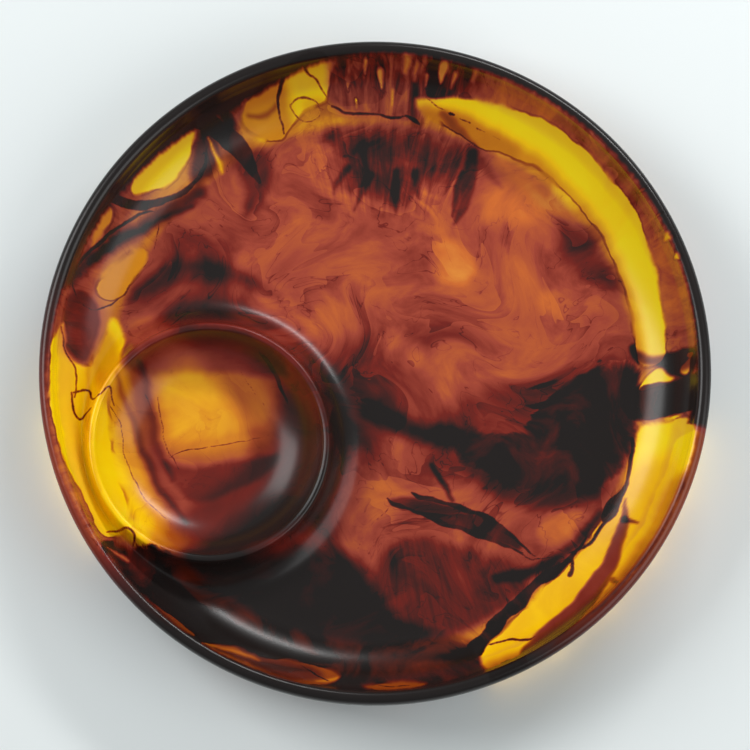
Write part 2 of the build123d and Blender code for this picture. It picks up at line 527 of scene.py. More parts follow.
TOP_WALL = [
    smoke(polar((72, 158), (72, 170), (80, 171), (83, 150), (79, 150)), 0.35, 6),
    smoke([(-23, 172), (24, 172), (23, 138), (14, 141), (-12, 143), (-22, 147)], 0.18, 2.5),
    drips([(-23, 172), (60, 172), (46, 150), (23, 138), (14, 141), (-12, 143), (-22, 147)], 0.5, 6),
    drips([(-40, 140), (50, 140), (56, 100), (20, 88), (-30, 96)], 0.35, 16),
    warmth([(-26, 175), (70, 175), (40, 150), (22, 139), (-12, 139), (-24, 144)], 0.9, 6),
    over([(-23, 146, 0.8), (-14, 142, 1), (0, 142.5, 0.9), (12, 141, 1.2), (16, 143, 0.6), (20, 139, 2),
          (23, 137, 0.8)]),
    smoke([(20, 164, 1.4), (21, 150, 2.4), (22, 138, 3.4)], 0.2, 3),
    bead(3, 162, 1.9, 7), bead(17, 167, 1.6, 6), bead(22, 164, 1.2, 6), bead(-5, 166, 1.3, 5),
    bead(-14, 157, 0.9, 4), bead(9, 154, 0.9, 6), bead(-10, 149, 0.8, 4), bead(28, 160, 1, 5),
    bead(36, 163, 2.6, 6), bead(42, 159, 1.4, 5), bead(52, 160, 0.9, 3), bead(32, 169, 0.8, 2),
    # The yellow window left of the red fringe, orange and folded at its lower end.
    clear([(-23, 171), (-23.5, 147), (-36, 145), (-44, 136), (-50, 127), (-66, 130), (-72, 141), (-60, 156),
           (-50, 160), (-42, 168)]),
    tint([(-76, 141), (-60, 160), (-48, 160), (-42, 146), (-44, 124), (-70, 126)], 0.3, 10),
    tint([(-40, 150), (-24, 150), (-22, 140), (-36, 138)], 0.14, 5),
    over([(-42, 170, 1), (-49, 158, 1.3), (-51, 146, 1), (-48, 132, 0.5)]),
    over([(-44, 146, 0.3), (-40, 151, 0.4), (-31, 149, 0.4), (-28, 142, 0.35), (-35, 137, 0.4),
          (-42, 140, 0.4), (-44, 147, 0.3)]),
    over([(-40, 168, 0.5), (-36, 160, 0.4), (-30, 158, 0.4), (-25, 150, 0.3)]),
    tint([(-66, 140, 1), (-58, 140, 1.6), (-52, 146, 1)], 0.2, 3),
]

UPPER_LEFT_WALL = [
    under([(-108, 150), (-60, 166), (-46, 165), (-50, 154), (-66, 148), (-72, 138), (-66, 124), (-60, 104),
           (-66, 112), (-78, 126), (-86, 140), (-96, 141)]),
    clear([(-92, 137), (-94, 127), (-103, 107), (-114, 100), (-127, 96), (-128, 103), (-121, 115),
           (-112, 126), (-104, 134)]),
    smoke([(-92, 137), (-80, 126), (-84, 110), (-100, 104)], 0.45, 6),
    clear([(-87, 128, 0.5), (-83, 120, 1.4), (-80, 112, 0.5)]),
    over([(-92, 136, 5), (-77, 131, 6), (-68, 119, 5), (-60, 106, 1.5)]),
    # A dark loop round an orange patch.
    over([(-158, 54, 0.9), (-150, 66, 1.3), (-138, 77, 1.2), (-122, 91, 1), (-111, 88, 0.5), (-117, 67, 0.35),
          (-133, 44, 0.5), (-148, 35, 0.7), (-157, 44, 0.9), (-158, 54, 0.9)]),
    calm([(-172, 30), (-160, 80), (-130, 110), (-90, 120), (-84, 96), (-120, 60), (-136, 30)], 0.5, 14),
    over([(-146, 96, 3.5), (-134, 93, 3), (-118, 92, 2.4), (-100, 100, 1.6), (-90, 112, 1.8),
          (-88, 124, 1.2)]),
    smoke([(-160, 50, 3), (-146, 66, 3), (-132, 76, 3.5), (-112, 88, 4), (-92, 102, 4)], 0.42, 7),
    smoke([(-150, 60, 1), (-136, 74, 2), (-116, 84, 1.6), (-96, 94, 1)], 0.2, 3),
    clear([(-150, 66), (-147, 82), (-139, 92), (-136, 84), (-146, 70)]),
    tint([(-156, 62), (-146, 92), (-132, 92), (-146, 60)], 0.24, 5),
    clear([(-148, 46), (-138, 62), (-124, 72), (-118, 66), (-128, 50), (-138, 41)]),
    tint([(-150, 42), (-140, 66), (-122, 76), (-116, 62), (-134, 38)], 0.28, 8),
]

LEFT_WALL = [
    clear([(-163, 30), (-170, 10), (-170, -20), (-162, -46), (-148, -72), (-142, -86), (-134, -84),
           (-126, -74), (-134, -50), (-140, -20), (-136, 0), (-130, 20), (-134, 34), (-140, 32), (-146, 12),
           (-152, 6), (-161, 12), (-161, 28)]),
    smoke([(-162, 44), (-163, 20), (-154, 7), (-147, 14), (-143, 36), (-150, 48)], 0.3, 3),
    warmth([(-166, 50), (-166, 10), (-146, 8), (-138, 50)], 0.6, 8),
    warmth(sector(172, 222, 166, 182), -0.6, 3),
    calm([(-172, 50), (-172, 6), (-140, 0), (-132, 50)], 0.7, 8),
    over([(-158, -8, 0.4), (-150, -4, 0.6), (-148, -12, 0.5), (-143, -9, 0.4), (-138, -4, 0.6),
          (-136, -14, 0.4)]),
    over([(-159, -8, 0.4), (-155, -24, 0.6), (-148, -16, 0.4)]),
    over([(-163, 26, 0.4), (-161, 12, 0.5), (-156, 4, 0.4), (-157, -10, 0.3)]),
    tint([(-152, 20, 1.2), (-150, 0, 1), (-150, -30, 1.4), (-143, -60, 1.2)], 0.1, 3),
    tint([(-150, 30), (-138, 30), (-130, 0), (-138, -20), (-148, 0)], 0.12, 6),
    tint([(-156, 24), (-128, 30), (-124, -70), (-144, -84), (-152, -40)], 0.08, 10),
]

FRONT_WALL = [
    under([(-146, -90), (-132, -86), (-118, -88), (-96, -96), (-80, -100), (-52, -98), (-30, -100),
           (-8, -102), (4, -116), (10, -132), (34, -140), (56, -142), (62, -158), (30, -178), (-60, -172),
           (-120, -132)]),
    warmth([(-150, -86), (-112, -86), (-96, -104), (-84, -136), (-120, -126)], 0.8, 10),
    clear([(-140, -92, 0.5), (-132, -95, 0.8), (-128, -97, 0.4)]),
    over([(-140, -82, 0.4), (-130, -80, 0.6), (-124, -84, 0.8), (-128, -90, 0.5), (-122, -96, 0.8)]),
    # Thin clear slivers below the lip.
    clear([(-124, -114), (-110, -124), (-98, -132), (-92, -139), (-100, -139), (-114, -130)]),
    clear([(-94, -143), (-84, -140), (-74, -140), (-66, -145), (-56, -148), (-44, -146), (-34, -150),
           (-22, -152), (-17, -157), (-22, -163), (-40, -166), (-58, -159), (-76, -152)]),
    clear([(-8, -163), (4, -160), (16, -160), (30, -162), (24, -166), (4, -168)]),
    tint(sector(222, 290, 140, 182), 0.54, 4),
    tint([(-64, -150), (-48, -146), (-28, -152), (-26, -160), (-44, -162), (-60, -156)], 0.12, 5),
    tint([(-88, -142, 0.6), (-74, -144, 1), (-60, -149, 0.6)], -0.16, 2),
    tint([(-30, -161, 0.6), (-22, -159, 1.2), (-18, -157, 0.6)], -0.2, 2),
    over([(0, -161, 0.4), (8, -164, 1), (20, -163, 0.4)]),
    warmth(sector(222, 290, 140, 182), -0.5, 4),
    tint([(-82, -144, 1), (-66, -150, 1.6), (-50, -153, 2.6), (-34, -154, 1)], 0.16, 3),
    over([(-70, -147, 0.5), (-58, -154, 1), (-44, -159, 0.6)]),
    over([(-40, -149, 0.4), (-32, -156, 1.2), (-24, -160, 0.5)]),
    smoke(sector(222, 294, 148, 182), 0.25, 6),
    calm(sector(215, 296, 100, 175), 0.5, 14),
]

FRONT_RIGHT_WALL = [
    clear([(137, -22), (150, -23), (166, -19), (168, -40), (160, -66), (146, -92), (126, -116), (104, -136),
           (82, -150), (60, -160), (53, -147), (60, -137), (72, -126), (82, -116), (90, -106), (99, -100),
           (106, -90), (117, -76), (124, -64), (132, -50)]),
    tint([(130, -40), (168, -40), (110, -160), (50, -160), (60, -134), (96, -98)], 0.15, 14),
    tint([(131, -62, 0.4), (131, -72, 1.8), (126, -88, 3.6), (119, -104, 4.6), (108, -120, 5.4),
          (92, -136, 6.4), (82, -146, 7)], 0.42, 1.8),
    warmth([(131, -64, 0.4), (126, -88, 3), (108, -120, 5), (82, -146, 6)], 1.5, 3),
    tint([(130, -73, 1.8), (136, -76, 0.7)], 0.46, 1.6),
    tint([(124, -107, 1.6), (126, -110, 0.6)], 0.3, 1.6),
    tint(polar((286, 165), (286, 182), (342, 182), (342, 167)), 0.5, 14),
    warmth(sector(290, 349, 160, 182), -1.2, 3),
    over([(60, -140, 0.5), (70, -136, 0.7), (80, -138, 0.9), (84, -136, 0.5)]),
    over([(66, -152, 0.6), (84, -148, 2.4), (96, -140, 1.2)]),
    over([(134, -30, 1.6), (134, -46, 1.2), (130, -56, 1), (124, -66, 4.6), (121, -71, 3.4)]),
    over([(114, -76, 0.8), (106, -88, 1.3), (99, -97, 1.8), (95, -99, 3), (90, -102, 4.2), (84, -107, 2.2),
          (79, -111, 3.2), (75, -117, 4.8), (68, -123, 2.8), (63, -128, 4.8), (58, -135, 3),
          (52, -142, 5.5)]),
    over([(102, -93, 1), (104, -99, 1.1), (102, -102, 1.5)]),
]

FLOOR = [
    # Smoke and fingers at the far side.
    smoke([(-36, 136), (44, 130), (48, 110), (24, 108), (20, 98), (8, 92), (4, 102), (-8, 104), (-12, 118)],
           0.34, 14),
    smoke([(-14, 128), (14, 126), (14, 100), (2, 96), (-10, 104)], 0.1, 8),
    smoke([(51, 122, 3), (50, 106, 4), (45, 92, 2.5), (41, 84, 0.6)], 0.3, 3),
    smoke([(46, 112, 1), (42, 98, 1.6), (40, 88, 0.5)], 0.3, 2),
    smoke([(12, 112, 2), (10, 98, 2), (11, 90, 0.5)], 0.28, 3),
    smoke([(22, 112, 2), (22, 104, 1.6), (23, 98, 0.5)], 0.25, 3),
    smoke([(-2, 110, 2), (-8, 100, 1.5), (-11, 92, 0.5)], 0.28, 3),
    smoke([(-14, 114, 2), (-20, 106, 1.2), (-22, 100, 0.4)], 0.25, 3),
    smoke([(-84, 122), (-60, 128), (-52, 112), (-60, 96), (-70, 84), (-66, 106)], 0.3, 9),
    # Streaks at the left.
    smoke([(-132, 40), (-118, 66), (-96, 82), (-70, 80), (-76, 56), (-60, 42), (-88, 28)], 0.14, 18),
    smoke([(-128, 44, 3), (-104, 60, 6), (-76, 58, 4), (-52, 46, 2)], 0.2, 8),
    warmth([(-130, 30), (-110, 44), (-60, 44), (-20, 20), (-10, -30), (-40, -90), (0, -110), (60, -110),
            (90, -90), (50, -60), (10, -50), (0, 0), (-30, 40), (-90, 60)], 0.35, 18),
    # Clearer patches.
    smoke([(28, 60), (30, 76), (44, 76), (54, 62), (48, 52), (34, 52)], -0.2, 7),
    smoke([(54, 84), (60, 108), (84, 106), (96, 92), (80, 84)], -0.14, 12),
    smoke([(56, 128), (96, 104), (110, 84), (96, 88), (72, 106)], -0.16, 8),
    smoke([(84, 36), (88, 50), (108, 46), (104, 32)], -0.14, 8),
    smoke([(4, 14), (10, 26), (28, 18), (22, 4)], -0.16, 8),
    smoke([(84, -72), (86, -88), (98, -86), (112, -70), (100, -66)], -0.2, 6),
    smoke([(-6, -48), (-8, -72), (14, -74), (20, -56)], -0.14, 10),
    smoke([(-112, 60, 2), (-96, 66, 5), (-78, 62, 4), (-64, 54, 1)], 0.12, 9),
    smoke([(-16, 2, 4), (0, -14, 7), (18, -24, 6), (34, -30, 4)], 0.16, 12),
    # Smoke at the right, over the black streak.
    smoke([(96, 90), (106, 86), (130, 54), (120, 50), (94, 66)], 0.22, 12),
    smoke([(-30, 20), (-2, 26), (20, -8), (8, -32), (-16, -40)], 0.16, 16),
    smoke([(34, -20), (60, 0), (100, 6), (136, 14), (138, -60), (100, -66), (52, -56), (24, -42)], 0.2, 16),
    under([(140, 9), (127, 13), (112, 9), (100, 3), (91, -6), (84, -16), (77, -24), (64, -25), (50, -21),
           (40, -25), (37, -33), (43, -44), (56, -54), (72, -61), (92, -60), (110, -57), (124, -56),
           (133, -48), (136, -34), (139, -16)]),
    under([(118, 11, 2), (100, 10, 1.4), (80, 5, 0.5)]),
    under([(104, 0, 2.4), (90, 0, 1.6), (72, -6, 0.5)]),
    under([(92, -12, 2.4), (80, -13, 1.4), (66, -15, 0.5)]),
    smoke([(44, -44), (60, -60), (76, -68), (100, -66), (120, -60), (112, -48), (70, -46)], 0.2, 9),
    smoke([(-4, -16, 4), (20, -26, 5), (44, -30, 5)], 0.3, 9),
    # The folded rope and the red field under it.
    over([(7, -61, 0.6), (10, -65, 2), (20, -68, 1), (34, -74, 2.4), (44, -76, 1.2), (53, -80, 2.8),
          (64, -85, 1.4), (84, -94, 0.5)]),
    over([(19, -59, 0.8), (24, -62, 2.2), (36, -63, 1.2), (45, -66, 2.4), (54, -69, 1.2), (61, -74, 3),
          (72, -83, 1.4), (86, -93, 0.5)]),
    smoke([(10, -63, 2), (24, -66, 4), (44, -71, 5.5), (60, -78, 5.5), (74, -87, 2)], 0.36, 3),
    over([(15, -65, 0.3), (32, -68, 0.5), (50, -74, 0.4), (66, -81, 0.4), (78, -90, 0.3)]),
    over([(7, -66, 0.4), (-4, -78, 0.35), (-10, -90, 0.3)]),
    over([(84, -93, 0.6), (100, -92, 0.8), (114, -84, 0.9), (122, -72, 1.2)]),
    smoke([(30, -44, 0.8), (36, -54, 1.8), (40, -62, 0.8)], 0.4, 2.5),
    smoke([(2, -88), (24, -80), (60, -92), (86, -100), (66, -122), (40, -136), (8, -132), (0, -112)],
           0.24, 8),
    drips([(2, -80), (60, -88), (86, -98), (66, -122), (40, -136), (8, -132), (0, -112)], 0.16, 8),
    warmth([(2, -70), (60, -80), (86, -98), (66, -122), (40, -136), (8, -132), (0, -112)], 0.5, 8),
    smoke([(118, -70, 2), (104, -88, 2.5), (84, -100, 3), (64, -104, 2)], 0.4, 5),
    # The dark front.
    smoke([(-130, -92), (-70, -96), (-26, -84), (-2, -100), (8, -128), (56, -140), (60, -150), (-90, -150)],
           0.5, 12),
    # Darker dye round the foot of the well: partly the resin's own smoke, partly painted shade in the hollow
    # of the flank.
    smoke([(-120, 38), (-90, 44), (-50, 34), (-18, 8), (-10, -30), (-22, -66), (-50, -90), (-90, -100),
           (-126, -92), (-90, -60), (-60, -40), (-80, 0)], 0.22, 14),
]

WELL = [
    smoke([(-115, 11), (-97, 18), (-77, 16), (-61, 8), (-53, -4), (-51, -25), (-80, -31), (-106, -37),
           (-112, -22), (-115, -8)], -0.25, 16),
    smoke([(-108, -38), (-84, -31), (-50, -26), (-48, -38), (-80, -44), (-106, -46)], -0.06, 4),
    smoke([(-113, -40), (-104, -45), (-80, -43), (-50, -36), (-52, -46), (-71, -56), (-93, -66), (-104, -56)],
           0.17, 5),
    smoke([(-52, -2), (-30, -20), (-26, -50), (-40, -80), (-70, -92), (-92, -90), (-74, -72), (-56, -52),
           (-48, -30)], 0.16, 14),
    # Painted shade in the hollow of the flank on the well's right side, laid over some of the resin's own
    # smoke.
    smoke([(-26, -2), (-4, -20), (0, -45), (-10, -75), (-30, -92), (-50, -84), (-30, -62), (-24, -35)],
           0.2, 16),
    warmth([(-30, -2), (-4, -20), (0, -45), (-10, -75), (-30, -92), (-80, -96), (-40, -60)], 0.4, 14),
    calm([(-150, 0), (-120, 28), (-60, 28), (-26, 0), (-24, -60), (-60, -98), (-120, -92)], 0.72, 14),
    warmth([(-122, 14), (-96, 24), (-64, 14), (-46, -6), (-46, -34), (-80, -42), (-116, -42)], -0.7, 12),
    # Painted shadow: a red-dark crescent on the well's far inner wall, below the crest.
    warmth([(-122, 30), (-60, 30), (-44, 0), (-60, 2), (-84, 8), (-124, 4)], 0.6, 5),
    smoke([(-136, 6), (-110, 26), (-66, 26), (-40, 0), (-56, 2), (-80, 6), (-100, 4), (-122, 2)], 0.16, 5),
    over([(-113, -8, 0.3), (-112, -24, 0.4), (-106, -42, 0.5), (-96, -56, 0.5), (-84, -62, 0.3)]),
    over([(-108, -40, 0.3), (-92, -34, 0.35), (-70, -32, 0.35), (-50, -26, 0.3)]),
    smoke([(-40, -60), (-44, -82), (-80, -98), (-104, -94), (-76, -82), (-54, -66)], 0.14, 12),
    smoke([(-146, 14), (-134, 16), (-124, -4), (-122, -40), (-110, -70), (-92, -88), (-112, -96), (-136, -84),
           (-150, -50)], -0.16, 12),
    warmth([(-146, 14), (-134, 16), (-122, -4), (-120, -40), (-108, -70), (-94, -88), (-112, -96),
            (-136, -84), (-150, -50)], -1.2, 14),
    smoke([(-130, 18, 3), (-125, 0, 4), (-122, -20, 4), (-118, -44, 4), (-106, -66, 3)], 0.14, 8),
    smoke([(-142, -2, 1), (-142, -24, 1.6), (-138, -50, 2), (-126, -74, 1.4)], 0.14, 5),
    over([(-138, -14, 0.3), (-132, -26, 0.4), (-130, -44, 0.4), (-120, -64, 0.4), (-100, -80, 0.3)]),
    smoke([(-136, 2, 1), (-130, -12, 1.6), (-122, -34, 2), (-114, -56, 1.4), (-98, -74, 1)], 0.2, 4),
    smoke([(-122, 8, 1), (-117, -12, 2), (-114, -34, 2.4), (-106, -52, 1)], 0.22, 5),
    over([(-122, -4, 0.4), (-118, -9, 0.8), (-115, -20, 0.4)]),
    over([(-78, 24, 0.3), (-72, 6, 0.4), (-60, -10, 0.35), (-50, -22, 0.3)]),
    over([(-60, 14, 1.2), (-52, 4, 1.8), (-48, -8, 1.4), (-44, -16, 0.6)]),
]


@dataclass
class RimBand:
    """The black and brown pour over the lip: its inner edge by angle, and how dark it is.

    Attributes:
        stations: at each of some angles, the band's inner radius there and how clear it is, from
            0, black, to 1.
    """

    stations: tuple = (
        (-10, 172, 0.5), (-9, 166, 0), (0, 168.5, 0), (20, 170.5, 0), (45, 171, 0), (70, 170, 0),
        (90, 170, 0), (102, 167.5, 0), (112, 163, 0), (122, 162, 0), (134, 164, 0), (148, 166, 0),
        (160, 168, 0.1), (172, 170.5, 0.3), (184, 172.5, 0.6), (196, 172.5, 0.8), (212, 172, 0.7),
        (224, 169, 0.2), (240, 170, 0), (262, 169, 0), (285, 167, 0), (297, 167, 0.1), (312, 171, 0.5),
        (334, 172, 0.7), (349.2, 172, 0.7), (350, 172, 0.7),
    )

    def depth(self, turn: np.ndarray, r: np.ndarray) -> np.ndarray:
        """How deep a place lies in the band, by its angle and radius."""
        turns, inner, _ = zip(*self.stations)
        return r - np.interp(turn, turns, inner)

    def clearness(self, turn: np.ndarray) -> np.ndarray:
        """How clear the band is at an angle."""
        turns, _, clearness = zip(*self.stations)
        return np.interp(turn, turns, clearness)


@dataclass
class Dye:
    """The dye at each point of the casting, as the values that the resin's shader reads.

    Attributes:
        pours: the patches of resin, in any order.
        band: the pour over the lip.
        seed: starts the random draw of the noise.
        deepest: how far from its edge a crisp pour's depth is told.
        base: for each soft layer its amount everywhere, what the floor adds, what the wall adds
            near the lip, and the two radii between which that comes in.
        outline_eddies: width, reach and steps of the eddies that curl the pours' outlines.
        flow_eddies: the same for the eddies that carry the smoke.
        flow_aside: how far the smoke is moved, so that its eddies aren't the outlines' own.
        floor_edge: the two radii between which the floor becomes the wall.
        below: how far the pours' outlines lie aside on the underside.
        brush: two waves of the ragged edge of the band over the lip, each as width and strength.
        comb_run: the drips' scale round the platter, and how much they waver.
    """

    pours: list[Pour]
    band: RimBand = field(default_factory=RimBand)
    seed: int = 7
    deepest: float = 10.0
    base: dict = field(default_factory=lambda: {
        Layer.SMOKE: (0.34, 0.12, 0.13, 150, 164),
        Layer.WARMTH: (0.3, 0.85, 1.1, 150, 160),
        Layer.DRIPS: (0.0, 0.0, 0.26, 148, 160),
        Layer.CALM: (0.0, 0.0, 0.0, 148, 160),
        Layer.TINT: (0.03, 0.0, 0.5, 168, 174),
    })
    outline_eddies: tuple = ((22.0, 0.018, 3), (7.0, 0.022, 2))
    flow_eddies: tuple = ((60.0, 0.14, 4), (20.0, 0.06, 3))
    flow_aside: tuple[float, float] = (40, -25)
    floor_edge: tuple[float, float] = (141, 134)
    below: float = 5.0
    brush: tuple = ((2.2, 0.6), (5.0, 0.36))
    comb_run: tuple[float, float] = (150, 0.15)

    def at(self, points: np.ndarray) -> dict[str, np.ndarray]:
        """Works out the dye.

        The places are first carried a little along two sizes of eddies, so that every outline
        curls. Soft layers are added up. Crisp layers keep the greatest depth, in millimetres. In
        flow and comb the height is pressed flat, so the smoke runs on from the floor up the wall.

        Args:
            points: the casting's points, in millimetres.

        Returns:
            One array for each layer, then band and bandclear for the pour over the lip, flow,
            which is the place that the resin came from, and comb, which runs with the drips.
        """
        noise = Noise(self.seed)
        x, y, z = points[..., 0], points[..., 1], points[..., 2]
        aside = np.where(z < 1, self.below, 0.0)
        curl_x, curl_y = self._carry(noise, x + aside, y - aside, self.outline_eddies)
        r, turn = np.hypot(x, y), np.degrees(np.arctan2(y, x))
        turn = np.where(turn < -10, turn + 360, turn)
        floor = smooth(*self.floor_edge, r)
        soft = {layer: everywhere + on_floor * floor + at_lip * smooth(start, end, r)
                for layer, (everywhere, on_floor, at_lip, start, end) in self.base.items()}
        crisp = {layer: np.full(x.shape, -self.deepest) for layer in Layer if layer not in soft}
        for pour in self.pours:
            depth = pour.depth(curl_x, curl_y)
            if pour.layer in crisp:
                crisp[pour.layer] = np.maximum(crisp[pour.layer], depth)
            else:
                soft[pour.layer] += pour.weight * smooth(-pour.blur / 2, pour.blur / 2, depth)
        values = {layer.value: share for layer, share in soft.items()}
        for layer, depth in crisp.items():
            values[layer.value] = np.clip(depth, -self.deepest, self.deepest)
        brush = sum(strength * noise.at(turn * 3.0, r * 0.3, width) for width, strength in self.brush)
        flow_x, flow_y = self._carry(noise, x + self.flow_aside[0], y + self.flow_aside[1], self.flow_eddies)
        run, waver = self.comb_run
        values.update(
            band=np.clip(self.band.depth(turn, r) + brush, -self.deepest, self.deepest),
            bandclear=self.band.clearness(turn),
            flow=np.stack([flow_x, flow_y, z * 0.5], axis=-1) * MM,
            comb=np.stack([np.radians(turn) * run + waver * curl_x, r * 0.16, z * 0.1], axis=-1) * MM,
        )
        return values

    def _carry(self, noise: Noise, x: np.ndarray, y: np.ndarray, eddies: tuple) -> tuple:
        """Carries places along each size of eddy in turn, given by width, reach and steps."""
        for size, reach, steps in eddies:
            x, y = noise.stir(x, y, size, reach, steps)
        return x, y


# --- The resin's finish -----------------------------------------------------------------------


def linear(hex_colour: str, alpha: float = 1.0) -> tuple[float, float, float, float]:
    """Turns an sRGB hex colour to linear red, green, blue and alpha."""
    parts = [int(hex_colour[i : i + 2], 16) / 255 for i in (1, 3, 5)]
    bent = [c / 12.92 if c <= 0.04045 else ((c + 0.055) / 1.055) ** 2.4 for c in parts]
    return (*bent, alpha)


def add_node(tree: bpy.types.NodeTree, kind: str, settings: dict | None = None,
             **links: object) -> bpy.types.Node:
    """Adds a node to a tree, sets it up and links it.

    Args:
        tree: the node tree.
        kind: the node's type.
        settings: the node's own properties by name.
        links: values or sockets for its inputs, by name, with a space as an underscore and an
            input's place as i and its number.

    Returns:
        The node.
    """
    node = tree.nodes.new(kind)
    for key, value in (settings or {}).items():
        setattr(node, key, value)
    for key, value in links.items():
        place = int(key[1:]) if key[0] == "i" and key[1:].isdigit() else key.replace("_", " ")
        if isinstance(value, bpy.types.NodeSocket):
            tree.links.new(value, node.inputs[place])
        else:
            node.inputs[place].default_value = value
    return node


@dataclass(frozen=True)
class Amount:
    """A number in a material that differs from point to point. Its sums become math nodes.

    The other terms of a sum are plain numbers or amounts. times_plus multiplies by one and adds
    another, and most takes the larger.
    """

    tree: bpy.types.NodeTree
    socket: bpy.types.NodeSocket

    def _sum(self, how: str, *others: object) -> "Amount":
        """The result of a math node with this number and up to two others."""
        links = {f"i{place}": getattr(term, "socket", term) for place, term in enumerate((self, *others))}
        node = add_node(self.tree, "ShaderNodeMath", {"operation": how}, **links)
        return Amount(self.tree, node.outputs[0])

    __add__ = partialmethod(_sum, "ADD")
    __sub__ = partialmethod(_sum, "SUBTRACT")
    __mul__ = partialmethod(_sum, "MULTIPLY")
    __truediv__ = partialmethod(_sum, "DIVIDE")
    __abs__ = partialmethod(_sum, "ABSOLUTE")
    times_plus = partialmethod(_sum, "MULTIPLY_ADD")
    most = partialmethod(_sum, "MAXIMUM")

    def rest(self) -> "Amount":
        """What is left of 1."""
        return self.times_plus(-1.0, 1.0)

    def saw(self, teeth: float) -> "Amount":
        """Rises slowly from 0 to 1 and drops back, a number of times for each unit."""
        return (self * teeth)._sum("FRACT")

    def step(self, low: float, high: float, end: float = 1.0) -> "Amount":
        """A smooth rise from 0 where this number is low to end where it is high."""
        span = add_node(self.tree, "ShaderNodeMapRange", {"interpolation_type": "SMOOTHSTEP"},
                        Value=self.socket, From_Min=low, From_Max=high, To_Min=0.0, To_Max=end)
        return Amount(self.tree, span.outputs["Result"])

    def towards(self, other: "Amount", share: "Amount") -> "Amount":
        """This number, going over to another as share goes from 0 to 1."""
        mix = add_node(self.tree, "ShaderNodeMix", {"data_type": "FLOAT"}, i0=share.socket, i2=self.socket,
                       i3=other.socket)
        return Amount(self.tree, mix.outputs[0])


